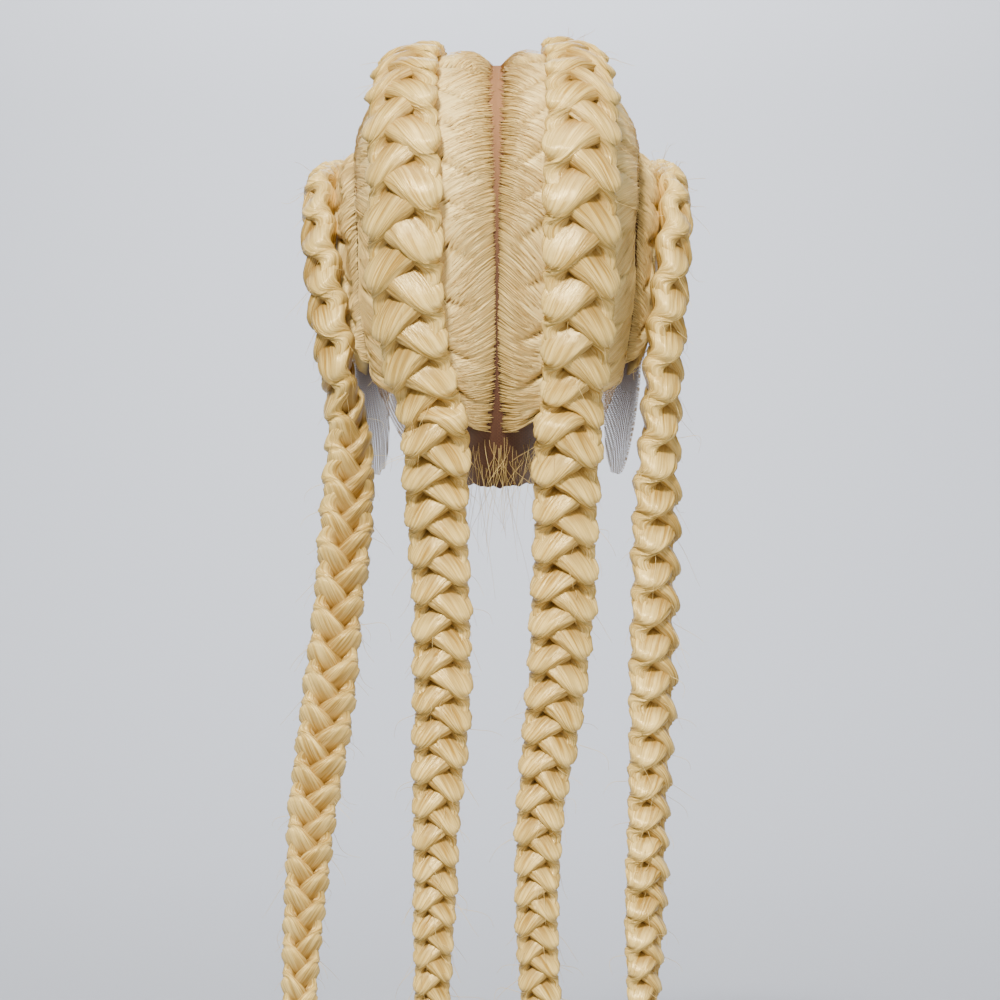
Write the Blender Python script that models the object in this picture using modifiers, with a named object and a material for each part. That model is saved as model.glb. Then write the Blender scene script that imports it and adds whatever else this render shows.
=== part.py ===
"""A blonde lace wig with four plaits, as it hangs on a head.

The wearer faces +Y, the wearer's right is +X and +Z is up, in metres. The origin is the crown's
highest point, on the inside of the cap. The head is a round form, a little squarer than an
ellipsoid, and longer below its widest level than above. Every piece that lies on the head is
placed by a direction from the head's middle, pushed out to that form, so all of them follow
the head's sizes.
"""

import math
from collections import namedtuple

import bmesh
import bpy
import numpy as np
from mathutils import Matrix, Vector

# The head inside the cap
HEAD_HALF_WIDTH = 0.077
HEAD_FRONT = 0.094
HEAD_BACK = 0.100
CROWN_RISE = 0.090  # from the widest level up to the crown
SQUARENESS = 2.4  # power of the rounded form: 2 would be an ellipsoid

# The lace cap
CAP_DEPTH = 0.220  # crown to the lowest lace at the nape
CAP_WALL = 0.0012
CAP_ROWS = 8
TAB_FLARE = 0.012  # how far an ear tab's lower end stands off the neck
COVERED_SHARE = 0.84  # of the lower form's half height, from the widest level to the cap's edge
NECK_FALL = (CAP_DEPTH - CROWN_RISE) / COVERED_SHARE  # half height of the lower form

# The hair on the cap
ROOT_GAP = 0.0022  # cap to hair, which leaves room between two faceted surfaces
SIDE_ROOT_GAP = 0.0009  # less at the sides, where the head is flatter
PARTING_GAP = 0.0030  # half the bare strip at a parting
HAIR_AT_PARTING = 0.0013
HAIR_DEPTH = 0.0050  # hair combed flat between a parting and a plait
SIDE_HAIR_DEPTH = 0.0085  # the outer sections are fuller
HAIR_UNDER_PLAIT = 0.0014
SIDE_UNDER_PLAIT = 0.0028
LOCK_RELIEF = 0.0011  # height of one combed lock over the crease beside it
LOCK_LENGTH = 0.026  # one lock is fed into the plait at each crossing

# The plaits
PLAIT_WIDTH = 0.040  # an inner plait at the back of the head
PLAIT_DEPTH = 0.0185
HANGING_DEPTH = 0.70  # share of its width that a hanging plait is thick
PLAIT_PITCH = 0.078  # length in which a strand returns to the same side
PLAIT_GAP = 0.0025  # plait to the hair under it
SIDE_PLAIT_GAP = 0.0042  # more at the sides, where the plait also turns over
ROOM_SHARE = 0.62  # how far the hair fills the wedge beside a plait's underside
HANG = 0.515  # crown to the lower end of the plaiting
SIDES = 8
RINGS_IN_PITCH = 11
RING_TILT = 0.13  # share of the pitch that a ring leads at mid face, as the crossings slope
STRAND_SHARE = 0.64  # half width of a strand, as a share of half the plait's
STRAND_DEPTH_SHARE = 0.60
FACE_TURN = 0.62  # share of the head's own sideways slope that an inner plait's face keeps
ROUTE_STEPS = 40  # steps of the smooth route between two rows of its table
TANGENT_STEP = 0.02  # of a pitch, to each side of the place where a route's direction is read

# The ends
TIE_WIRE = 0.0019  # radius of the elastic's own thickness
NECK_RADIUS = 0.0046
END_GAP = 0.0003
TUFT_LENGTH = 0.042
TUFT_RADIUS = 0.0088
TUFT_SIDES = 8
TIE_SIDES = 10
TIE_WIRE_SIDES = 5

MIDDLE = np.array([0.0, 0.0, -CROWN_RISE])

# Shares: x of the head's half width, y of its front or back, z of its upper or lower half height.
# They give a direction only, which on_head() pushes out to the surface.
# The left and the right plait lie a little differently, so x has a column for each.
Seat = namedtuple("Seat", "left right y z width depth pitch")
# Shares: x of the head's half width, y of its back, drop of HANG. facing is the compass turn of
# the plait's top face: 0 is straight back, 90 the wearer's right.
Hang = namedtuple("Hang", "x y drop width pitch facing")
Edge = namedtuple("Edge", "turn depth flare")
# down is a share of TUFT_LENGTH below the elastic, radius of TUFT_RADIUS, flute the share that
# the creases between the locks are cut in.
Swell = namedtuple("Swell", "down radius flute")

# The cap's lower edge, from the middle of the nape (turn 0) to the middle of the forehead (180).
# depth is a share of CAP_DEPTH, flare of TAB_FLARE. The edge rises over the ear, drops to the
# tab in front of it and rises again to the forehead.
CAP_EDGE = (
    Edge(0, 1.000, 0.0),
    Edge(12, 0.995, 0.0),
    Edge(24, 0.985, 0.0),
    Edge(36, 0.950, 0.0),
    Edge(48, 0.870, 0.0),
    Edge(59, 0.700, 0.0),
    Edge(70, 0.590, 0.0),
    Edge(84, 0.560, 0.0),
    Edge(96, 0.620, 0.1),
    Edge(102, 0.860, 0.7),
    Edge(108, 0.935, 1.0),
    Edge(123, 0.925, 0.9),
    Edge(130, 0.830, 0.5),
    Edge(136, 0.540, 0.0),
    Edge(146, 0.415, 0.0),
    Edge(157, 0.365, 0.0),
    Edge(168, 0.340, 0.0),
    Edge(180, 0.335, 0.0),
)

# The inner plait on the head: from the front hairline over the crown to the nape.
INNER_ON_HEAD = (
    Seat(0.36, 0.34, 0.85, 0.42, 0.42, 0.52, 0.55),
    Seat(0.40, 0.36, 0.66, 0.64, 0.62, 0.60, 0.80),
    Seat(0.43, 0.38, 0.38, 0.82, 0.72, 0.64, 0.95),
    Seat(0.46, 0.41, 0.04, 0.90, 0.76, 0.66, 1.00),
    Seat(0.48, 0.42, -0.36, 0.82, 0.84, 0.76, 1.00),
    Seat(0.48, 0.42, -0.68, 0.58, 0.95, 0.90, 1.00),
    Seat(0.47, 0.42, -0.86, 0.21, 0.97, 1.00, 1.00),
    Seat(0.47, 0.42, -0.88, -0.17, 0.97, 1.00, 0.98),
    Seat(0.42, 0.40, -0.85, -0.35, 0.90, 1.00, 0.85),
    Seat(0.33, 0.37, -0.78, -0.51, 0.82, 1.00, 0.74),
)
INNER_LEFT_FREE = (
    Hang(0.39, 1.005, 0.380, 0.85, 0.70, -4),
    Hang(0.39, 0.960, 0.440, 0.79, 0.72, -3),
    Hang(0.36, 0.950, 0.540, 0.73, 0.73, 0),
    Hang(0.355, 0.98, 0.640, 0.72, 0.68, 0),
    Hang(0.39, 1.03, 0.740, 0.59, 0.64, 3),
    Hang(0.40, 1.07, 0.840, 0.52, 0.54, 5),
    Hang(0.42, 1.10, 0.930, 0.43, 0.51, 5),
    Hang(0.42, 1.12, 1.000, 0.32, 0.48, 5),
)
INNER_RIGHT_FREE = (
    Hang(0.46, 0.990, 0.380, 0.86, 0.78, 4),
    Hang(0.45, 0.950, 0.440, 0.81, 0.77, 3),
    Hang(0.43, 0.950, 0.540, 0.81, 0.72, 0),
    Hang(0.375, 0.98, 0.640, 0.72, 0.69, -2),
    Hang(0.28, 1.03, 0.740, 0.60, 0.62, -4),
    Hang(0.26, 1.07, 0.840, 0.53, 0.55, -4),
    Hang(0.28, 1.10, 0.930, 0.49, 0.51, -4),
    Hang(0.28, 1.12, 1.000, 0.34, 0.48, -4),
)
# The outer plait on the head: from the temple, over the ear, to behind it.
OUTER_ON_HEAD = (
    Seat(0.70, 0.70, 0.62, 0.36, 0.40, 0.70, 0.50),
    Seat(0.86, 0.86, 0.42, 0.34, 0.60, 0.95, 0.70),
    Seat(0.95, 0.95, 0.16, 0.29, 0.68, 1.05, 0.80),
    Seat(0.97, 0.96, -0.12, 0.23, 0.72, 1.10, 0.84),
    Seat(0.95, 0.93, -0.30, 0.08, 0.72, 1.10, 0.88),
    Seat(0.87, 0.90, -0.42, -0.11, 0.72, 1.05, 0.84),
    Seat(0.75, 0.87, -0.48, -0.34, 0.68, 1.05, 0.78),
)
OUTER_LEFT_FREE = (
    Hang(0.99, 0.55, 0.370, 0.64, 0.72, -140),
    Hang(0.99, 0.56, 0.440, 0.68, 0.65, -166),
    Hang(1.045, 0.62, 0.540, 0.62, 0.64, -174),
    Hang(1.11, 0.70, 0.640, 0.66, 0.62, -176),
    Hang(1.20, 0.80, 0.740, 0.60, 0.58, -176),
    Hang(1.25, 0.90, 0.840, 0.50, 0.56, -176),
    Hang(1.28, 0.97, 0.930, 0.41, 0.55, -176),
    Hang(1.29, 1.02, 1.000, 0.33, 0.52, -176),
)
OUTER_RIGHT_FREE = (
    Hang(1.08, 0.55, 0.370, 0.72, 0.78, 90),
    Hang(1.06, 0.56, 0.440, 0.76, 0.74, 88),
    Hang(1.04, 0.62, 0.540, 0.78, 0.72, 82),
    Hang(1.02, 0.70, 0.640, 0.74, 0.70, 64),
    Hang(0.99, 0.80, 0.740, 0.61, 0.60, 42),
    Hang(0.965, 0.90, 0.840, 0.58, 0.56, 36),
    Hang(0.945, 0.97, 0.930, 0.44, 0.54, 34),
    Hang(0.94, 1.02, 1.000, 0.34, 0.52, 34),
)

TUFT_SWELLS = (
    Swell(0.14, 0.86, 0.08),
    Swell(0.36, 1.00, 0.14),
    Swell(0.66, 0.80, 0.18),
    Swell(1.00, 0.34, 0.20),
)

# Lines on the head, as directions in the same shares. The centre parting is in line with the
# inner plait, and the hairline runs below the outer one.
CENTRE_PARTING = (
    (0.0, 0.91, 0.42),
    (0.0, 0.50, 0.87),
    (0.0, -0.20, 0.98),
    (0.0, -0.86, 0.50),
    (0.0, -1.00, 0.00),
    (0.0, -0.94, -0.38),
    (0.0, -0.81, -0.66),
)
SIDE_PARTING = (
    (0.55, 0.71, 0.44),
    (0.72, 0.42, 0.55),
    (0.82, 0.14, 0.55),
    (0.86, -0.16, 0.48),
    (0.87, -0.40, 0.27),
    (0.86, -0.51, 0.03),
    (0.84, -0.52, -0.19),
    (0.77, -0.53, -0.42),
)
SIDE_HAIRLINE = (
    (0.62, 0.72, 0.30),
    (0.88, 0.46, 0.10),
    (0.97, 0.20, 0.00),
    (0.99, -0.02, -0.09),
    (0.96, -0.18, -0.22),
    (0.90, -0.32, -0.34),
    (0.82, -0.43, -0.45),
)
# What lies beside the parting of each section, as shares from the parting to the plait's middle.
SECTION_STEPS = (0.0, 0.30, 0.58, 1.0)


def clear_scene():
    for thing in list(bpy.data.objects):
        bpy.data.objects.remove(thing, do_unlink=True)


def head_axes(points):
    back_or_front = np.where(points[:, 1] < 0, HEAD_BACK, HEAD_FRONT)
    below_or_above = np.where(points[:, 2] < 0, NECK_FALL, CROWN_RISE)
    return np.stack([np.full(len(points), HEAD_HALF_WIDTH), back_or_front, below_or_above], axis=1)


def power_norm(shares):
    return np.sum(np.abs(shares) ** SQUARENESS, axis=1, keepdims=True) ** (1 / SQUARENESS)


def on_head(shares, lift):
    """Points lift above the head in the directions that the shares give, and the normals there."""
    shares = np.asarray(shares, float)
    shares = shares / power_norm(shares)
    axes = head_axes(shares)
    normals = np.sign(shares) * np.abs(shares) ** (SQUARENESS - 1) / axes
    normals /= np.linalg.norm(normals, axis=1, keepdims=True)
    return MIDDLE + shares * axes + normals * np.reshape(lift, (-1, 1)), normals


def through(rows, places):
    """A smooth curve through the rows, read at places from 0 to 1 (a Catmull-Rom spline)."""
    rows = np.asarray(rows, float)
    rows = np.vstack([2 * rows[0] - rows[1], rows, 2 * rows[-1] - rows[-2]])
    spans = len(rows) - 3
    along = np.clip(places, 0, 1) * spans
    span = np.minimum(along.astype(int), spans - 1)
    t = (along - span)[:, None]
    a, b, c, d = (rows[span + k] for k in range(4))
    return 0.5 * (2 * b + (c - a) * t + (2 * a - 5 * b + 4 * c - d) * t**2 + (3 * b - a - 3 * c + d) * t**3)


def unit(vectors):
    return vectors / np.linalg.norm(vectors, axis=-1, keepdims=True)


def material(name, colour, roughness):
    made = bpy.data.materials.new(name)
    made.use_nodes = True
    shader = made.node_tree.nodes["Principled BSDF"]
    shader.inputs["Base Color"].default_value = (*colour, 1.0)
    shader.inputs["Roughness"].default_value = roughness
    shader.inputs["Metallic"].default_value = 0.0
    return made


def add_object(name, points, faces, finish, smooth_angle=math.radians(50)):
    mesh = bpy.data.meshes.new(name)
    mesh.from_pydata([tuple(p) for p in points], [], faces)
    if smooth_angle:
        mesh.shade_smooth()
        mesh.set_sharp_from_angle(angle=smooth_angle)
    mesh.materials.append(finish)
    made = bpy.data.objects.new(name, mesh)
    wig.objects.link(made)
    return made


def grid_faces(rows, columns, first=0, around=False):
    """Quads between the neighbouring points of a grid, row after row."""
    faces = []
    for i in range(rows - 1):
        for j in range(columns if around else columns - 1):
            k = (j + 1) % columns
            a, b = first + i * columns + j, first + i * columns + k
            faces.append((a, b, b + columns, a + columns))
    return faces


def lace_cap():
    """Half of the cap is a grid from the crown to the edge, then mirrored and given its wall."""
    edge = np.array(CAP_EDGE)
    turns = np.radians(edge[:, 0])
    around = np.stack([np.sin(turns), -np.cos(turns)], axis=1)
    around /= power_norm(around)
    edge_rise = CROWN_RISE - edge[:, 1] * CAP_DEPTH
    edge_slope = np.arcsin(edge_rise / np.where(edge_rise < 0, NECK_FALL, CROWN_RISE))
    points = [Vector((0, 0, 0))]
    for row in range(1, CAP_ROWS + 1):
        share = row / CAP_ROWS
        slopes = math.pi / 2 + (edge_slope - math.pi / 2) * share
        level = (1 - np.abs(np.sin(slopes)) ** SQUARENESS) ** (1 / SQUARENESS)
        shares = np.column_stack([around * level[:, None], np.sin(slopes)])
        flared = edge_rise < 0
        low = np.clip(np.sin(slopes) / np.where(flared, np.sin(edge_slope), -1), 0, 1) * flared
        lift = edge[:, 2] * TAB_FLARE * low**2
        points += [Vector(p) for p in on_head(shares, lift)[0]]
    count = len(turns)
    faces = [(0, 2 + j, 1 + j) for j in range(count - 1)] + grid_faces(CAP_ROWS, count, first=1)
    faces = [tuple(reversed(face)) for face in faces]
    cap = add_object("lace_cap", points, faces, lace, smooth_angle=None)
    mirror = cap.modifiers.new("other half", "MIRROR")
    mirror.use_axis = (True, False, False)
    mirror.use_clip = True
    mirror.merge_threshold = 0.0001
    wall = cap.modifiers.new("wall", "SOLIDIFY")
    wall.thickness = CAP_WALL
    wall.offset = 1
    return cap


def seats_of(seats, side):
    """The rows of a table of seats with the x of one side only."""
    rows = np.array(seats)
    return np.delete(rows, 0 if side > 0 else 1, axis=1)


def plait_route(seats, hangs, side, under, face_turn):
    """Places along one plait every few millimetres, with its normal, width, depth and pitch."""
    seats, hangs = seats_of(seats, side), np.array(hangs)
    lift = CAP_WALL + under + seats[:, 4] * PLAIT_DEPTH / 2
    on, normals = on_head(seats[:, :3] * [side, 1, 1], lift)
    normals = unit(normals * [face_turn, 1, 1])
    free = hangs[:, :3] * [side * HEAD_HALF_WIDTH, -HEAD_BACK, -HANG]
    facing = np.radians(hangs[:, 5])
    turned = np.stack([np.sin(facing), -np.cos(facing), 0 * facing], axis=1)
    width = np.concatenate([seats[:, 3], hangs[:, 3]]) * PLAIT_WIDTH
    depth = np.concatenate([seats[:, 4] * PLAIT_DEPTH, width[len(seats) :] * HANGING_DEPTH])
    rows = np.column_stack(
        [
            np.vstack([on, free]),
            np.vstack([normals, turned]),
            width,
            depth,
            np.concatenate([seats[:, 5], hangs[:, 4]]) * PLAIT_PITCH,
        ]
    )
    fine = through(rows, np.linspace(0, 1, ROUTE_STEPS * len(rows)))
    steps = np.linalg.norm(np.diff(fine[:, :3], axis=0), axis=1)
    pitch = fine[:, 8]
    phase = np.concatenate([[0], np.cumsum(steps / pitch[1:])])
    return phase, fine


def read_route(route, phases):
    """The route at the given phases: places, normals, breadths and half sizes."""
    phase, fine = route
    rows = np.stack([np.interp(phases, phase, fine[:, k]) for k in range(fine.shape[1])], axis=-1)
    ahead, behind = (
        np.stack([np.interp(phases + step, phase, fine[:, k]) for k in range(3)], axis=-1)
        for step in (TANGENT_STEP, -TANGENT_STEP)
    )
    tangent = unit(ahead - behind)
    normal = rows[..., 3:6] - tangent * np.sum(rows[..., 3:6] * tangent, axis=-1, keepdims=True)
    normal = unit(normal)
    return rows[..., :3], tangent, normal, np.cross(tangent, normal), rows[..., 6] / 2, rows[..., 7] / 2


def strand_reach(phases, angles, half_width, half_depth):
    """How far the three crossed strands reach from the plait's middle at an angle from its face.

    A strand swings once across and twice through the plait in each pitch. Its section is an
    ellipse, and the reach is the farthest crossing of the ray with any of the three.
    """
    width, depth = half_width * STRAND_SHARE, half_depth * STRAND_DEPTH_SHARE
    across, through_face = np.sin(angles), np.cos(angles)
    reach = np.zeros_like(phases)
    for k in range(3):
        t = 2 * math.pi * (phases + k / 3)
        x = (half_width - width) * np.sin(t)
        y = (half_depth - depth) * np.sin(2 * t)
        a = (across / width) ** 2 + (through_face / depth) ** 2
        b = across * x / width**2 + through_face * y / depth**2
        c = (x / width) ** 2 + (y / depth) ** 2 - 1
        root = b**2 - a * c
        reach = np.maximum(reach, np.where(root > 0, (b + np.sqrt(np.maximum(root, 0))) / a, 0))
    return reach


def plait(name, route):
    """The three strands as one fused body: tilted rings of SIDES points, read off the strands."""
    last = route[0][-1]
    margin = RING_TILT
    count = int((last - 2 * margin) * RINGS_IN_PITCH)
    middles = np.linspace(margin, last - margin, count)
    angles = np.linspace(0, 2 * math.pi, SIDES, endpoint=False)
    ease = np.clip(np.minimum(middles - margin, last - margin - middles) * RINGS_IN_PITCH / 2, 0, 1)
    phases = middles[:, None] - RING_TILT * np.cos(angles) * ease[:, None]
    place, tangent, normal, breadth, half_width, half_depth = read_route(route, phases)
    turned = np.broadcast_to(angles, phases.shape)
    reach = strand_reach(phases, turned, half_width, half_depth)
    points = place + reach[..., None] * (
        normal * np.cos(turned)[..., None] + breadth * np.sin(turned)[..., None]
    )
    faces = grid_faces(count, SIDES, around=True)
    faces.append(tuple(reversed(range(SIDES))))
    faces.append(tuple(range((count - 1) * SIDES, count * SIDES)))
    return add_object(name, points.reshape(-1, 3), faces, hair)


def section(name, inner_line, outer_line, seats, side, root_gap, hair_depth, hair_under):
    """The hair between two lines on the head, lying under the plait that it is combed into.

    Rows run along the plait, two for each lock. Columns run from one line to the plait and on
    to the other. A closed slab is made of an outer and an inner grid and the rim between them.
    """
    seats = seats_of(seats, side)
    fine = np.linspace(0, 1, ROUTE_STEPS * len(seats))
    line = on_head(through(seats[:, :3], fine), 0)[0]
    length = np.sum(np.linalg.norm(np.diff(line, axis=0), axis=1))
    rows = 2 * int(round(length / LOCK_LENGTH)) + 1
    places = np.linspace(0, 1, rows)
    middle = unit(through(seats[:, :3], places))
    first = unit(through(inner_line, places))
    other = unit(through(outer_line, places))
    shares = [(first, s) for s in SECTION_STEPS] + [(other, s) for s in SECTION_STEPS[-2::-1]]
    half_width, half_depth = (through(seats[:, 3:5], places) * [PLAIT_WIDTH / 2, PLAIT_DEPTH / 2]).T
    lock = np.where(np.arange(rows) % 2 == 0, -1.0, 1.0) * LOCK_RELIEF / 2
    base = CAP_WALL + root_gap
    mirrored = np.array([side, 1, 1])
    under = on_head(middle * mirrored, base)[0]
    outer, inner = [], []
    for end, share in shares:
        seat, normals = on_head((end + (middle - end) * share) * mirrored, base)
        depth = HAIR_AT_PARTING if share == 0 else hair_depth + lock
        aside = np.clip(np.linalg.norm(seat - under, axis=1) / half_width, 0, 1)
        room = hair_under + half_depth * (1 - np.sqrt(1 - aside**2)) * ROOM_SHARE
        outer.append(seat + normals * np.minimum(depth, room)[:, None])
        inner.append(seat)
    outer, inner = (np.stack(grid, axis=1) for grid in (outer, inner))
    for grid in (outer, inner):
        keep_clear(grid)
    columns = outer.shape[1]
    total = rows * columns
    faces = grid_faces(rows, columns)
    faces += [tuple(reversed(f)) for f in grid_faces(rows, columns, first=total)]
    rim = [j for j in range(columns)] + [i * columns + columns - 1 for i in range(1, rows)]
    rim += [total - 1 - j for j in range(1, columns)] + [i * columns for i in range(rows - 2, 0, -1)]
    faces += [(a, a + total, b + total, b) for a, b in zip(rim, rim[1:] + rim[:1])]
    if side > 0:
        faces = [tuple(reversed(f)) for f in faces]
    return add_object(name, np.vstack([outer.reshape(-1, 3), inner.reshape(-1, 3)]), faces, hair)


def keep_clear(grid):
    """Moves the section's edges back from its partings, where the neighbouring sections also end."""
    for edge, beside in ((0, 1), (-1, -2)):
        grid[:, edge] += unit(grid[:, beside] - grid[:, edge]) * PARTING_GAP


def end_of(route):
    """The lower end of a plait: its place, and axes with z down along it."""
    place, tangent, normal, breadth, *_ = read_route(route, np.array([route[0][-1] - RING_TILT]))
    axes = Matrix((normal[0], breadth[0], tangent[0])).transposed()
    return Vector(place[0]), axes


def tie(name, route):
    """The elastic: a ring round the neck of the loose hair, just below the plait."""
    place, axes = end_of(route)
    mesh = bpy.data.meshes.new(name)
    middle = NECK_RADIUS + END_GAP + TIE_WIRE
    shape = bmesh.new()
    rings = []
    for i in range(TIE_SIDES):
        turn = 2 * math.pi * i / TIE_SIDES
        ring = []
        for j in range(TIE_WIRE_SIDES):
            tilt = 2 * math.pi * j / TIE_WIRE_SIDES
            radius = middle + TIE_WIRE * math.cos(tilt)
            down = END_GAP + TIE_WIRE * (1 + math.sin(tilt))
            spot = Vector((radius * math.cos(turn), radius * math.sin(turn), down))
            ring.append(shape.verts.new(place + axes @ spot))
        rings.append(ring)
    for i in range(TIE_SIDES):
        a, b = rings[i], rings[(i + 1) % TIE_SIDES]
        for j in range(TIE_WIRE_SIDES):
            k = (j + 1) % TIE_WIRE_SIDES
            shape.faces.new((a[j], b[j], b[k], a[k]))
    bmesh.ops.recalc_face_normals(shape, faces=shape.faces)
    shape.to_mesh(mesh)
    shape.free()
    mesh.shade_smooth()
    mesh.materials.append(elastic)
    made = bpy.data.objects.new(name, mesh)
    wig.objects.link(made)
    return made


def tuft(name, route):
    """The loose hair: a neck through the elastic, then locks that swell and draw in to a tip."""
    place, axes = end_of(route)
    neck_length = END_GAP * 3 + TIE_WIRE * 2
    profile = [(END_GAP, NECK_RADIUS, 0.0), (neck_length, NECK_RADIUS, 0.0)]
    for swell in TUFT_SWELLS:
        down = neck_length + TUFT_LENGTH * swell.down
        profile.append((down, TUFT_RADIUS * swell.radius, swell.flute))
    points = []
    for down, radius, flute in profile:
        for j in range(TUFT_SIDES):
            turn = 2 * math.pi * j / TUFT_SIDES
            reach = radius * (1 - flute * (j % 2))
            points.append(place + axes @ Vector((reach * math.cos(turn), reach * math.sin(turn), down)))
    faces = grid_faces(len(profile), TUFT_SIDES, around=True)
    faces.append(tuple(reversed(range(TUFT_SIDES))))
    faces.append(tuple(range((len(profile) - 1) * TUFT_SIDES, len(profile) * TUFT_SIDES)))
    return add_object(name, points, faces, hair)


clear_scene()
wig = bpy.data.collections.new("braided_wig")
bpy.context.scene.collection.children.link(wig)
hair = material("blonde hair", (0.74, 0.62, 0.38), 0.42)
lace = material("lace", (0.42, 0.34, 0.28), 0.80)
elastic = material("clear elastic", (0.62, 0.52, 0.34), 0.45)

lace_cap()
UNDER_INNER = ROOT_GAP + HAIR_UNDER_PLAIT + PLAIT_GAP
UNDER_OUTER = SIDE_ROOT_GAP + SIDE_UNDER_PLAIT + SIDE_PLAIT_GAP
routes = {
    "outer_left": plait_route(OUTER_ON_HEAD, OUTER_LEFT_FREE, -1, UNDER_OUTER, 1.0),
    "inner_left": plait_route(INNER_ON_HEAD, INNER_LEFT_FREE, -1, UNDER_INNER, FACE_TURN),
    "inner_right": plait_route(INNER_ON_HEAD, INNER_RIGHT_FREE, 1, UNDER_INNER, FACE_TURN),
    "outer_right": plait_route(OUTER_ON_HEAD, OUTER_RIGHT_FREE, 1, UNDER_OUTER, 1.0),
}
for place, route in routes.items():
    side = -1 if place.endswith("left") else 1
    if place.startswith("inner"):
        shape = (CENTRE_PARTING, SIDE_PARTING, INNER_ON_HEAD)
        depths = (ROOT_GAP, HAIR_DEPTH, HAIR_UNDER_PLAIT)
    else:
        shape = (SIDE_PARTING, SIDE_HAIRLINE, OUTER_ON_HEAD)
        depths = (SIDE_ROOT_GAP, SIDE_HAIR_DEPTH, SIDE_UNDER_PLAIT)
    section("hair_" + place, *shape, side, *depths)
    plait("braid_" + place, route)
    tie("tie_" + place, route)
    tuft("tuft_" + place, route)
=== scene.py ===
import math
from collections import namedtuple

import bpy
import numpy as np
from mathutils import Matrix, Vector


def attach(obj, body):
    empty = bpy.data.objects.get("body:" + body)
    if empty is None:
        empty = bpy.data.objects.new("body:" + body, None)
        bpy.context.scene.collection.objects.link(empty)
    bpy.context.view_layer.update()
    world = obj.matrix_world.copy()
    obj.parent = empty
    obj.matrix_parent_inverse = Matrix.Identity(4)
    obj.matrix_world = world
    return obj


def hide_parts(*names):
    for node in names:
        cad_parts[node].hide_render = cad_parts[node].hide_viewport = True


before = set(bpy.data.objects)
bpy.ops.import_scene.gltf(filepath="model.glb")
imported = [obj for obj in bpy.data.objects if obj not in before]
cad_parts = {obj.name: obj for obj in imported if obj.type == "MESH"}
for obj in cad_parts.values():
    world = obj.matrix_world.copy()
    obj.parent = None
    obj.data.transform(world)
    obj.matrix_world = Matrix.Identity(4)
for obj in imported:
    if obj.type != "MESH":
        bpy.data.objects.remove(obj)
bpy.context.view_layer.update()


# The lace cap. A sheer net is stretched over a rounded block, so it has no seam, and is cut by
# hand along the hairline, with a tab before each ear. Hair is knotted into its holes, which
# closes them, so it is see-through only in its bare band along the edge.
CAP_HALF_WIDTH = 0.077
CAP_FRONT = 0.094
CAP_BACK = 0.100
CROWN_RISE = 0.090
CAP_DEPTH = 0.220
COVERED_SHARE = 0.84
CAP_FALL = (CAP_DEPTH - CROWN_RISE) / COVERED_SHARE
SQUARENESS = 2.4
LACE_THICKNESS = 0.0010
TAB_FLARE = 0.012
NET_PITCH = 0.0011  # the real net's is about 0.8 mm, too fine to show from the camera
OPEN_FROM = 0.8  # the sheer mark from which the net's holes are clear
PAINTED_SHADE_TOP = -0.03  # painted shade under the hair darkens the lace from this height down to the next one
PAINTED_SHADE_LOW = -0.12
BARE_FROM = 0.80  # where the bare band begins, as a share of the way down
NAPE_BARE = 0.32  # how much farther up it begins at the nape
NAPE_REACH = 34  # how far that patch goes round from the nape, in degrees
RAGGED_CUT = 0.002  # how far the scissors stray, as a share of CAP_DEPTH
MIDDLE = np.array([0.0, 0.0, -CROWN_RISE])
SWAY = np.random.default_rng(613)  # seeded, so that every run gives the same hair
# The turn is in degrees from the nape. The depth and flare are shares of the cap's and the tabs'.
Edge = namedtuple("Edge", "turn depth flare")
CAP_EDGE = (
    Edge(0, 1.000, 0.0),
    Edge(12, 0.995, 0.0),
    Edge(24, 0.985, 0.0),
    Edge(36, 0.950, 0.0),
    Edge(48, 0.870, 0.0),
    Edge(59, 0.700, 0.0),
    Edge(70, 0.590, 0.0),
    Edge(84, 0.560, 0.0),
    Edge(96, 0.620, 0.1),
    Edge(102, 0.860, 0.7),
    Edge(108, 0.935, 1.0),
    Edge(123, 0.925, 0.9),
    Edge(130, 0.830, 0.5),
    Edge(136, 0.540, 0.0),
    Edge(146, 0.415, 0.0),
    Edge(157, 0.365, 0.0),
    Edge(168, 0.340, 0.0),
    Edge(180, 0.335, 0.0),
)


def linear(code):
    """The linear colour of an sRGB hex value."""
    channels = [int(code[i : i + 2], 16) / 255 for i in (1, 3, 5)]
    return (*[c / 12.92 if c <= 0.04045 else ((c + 0.055) / 1.055) ** 2.4 for c in channels], 1.0)


def plug(tree, node, sockets):
    """Gives each named socket of a node its value, or a link from another node's output."""
    for socket, value in dict(sockets).items():
        if isinstance(value, bpy.types.NodeSocket):
            tree.links.new(value, node.inputs[socket])
        else:
            node.inputs[socket].default_value = value


def add_node(tree, kind, sockets=(), **settings):
    """Adds a node with its settings and plugs its sockets."""
    made = tree.nodes.new(kind)
    for name, value in settings.items():
        setattr(made, name, value)
    plug(tree, made, sockets)
    return made


def new_finish(name):
    """A new material, its node tree and its shader."""
    finish = bpy.data.materials.new(name)
    finish.use_nodes = True
    return finish, finish.node_tree, finish.node_tree.nodes["Principled BSDF"]


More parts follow.
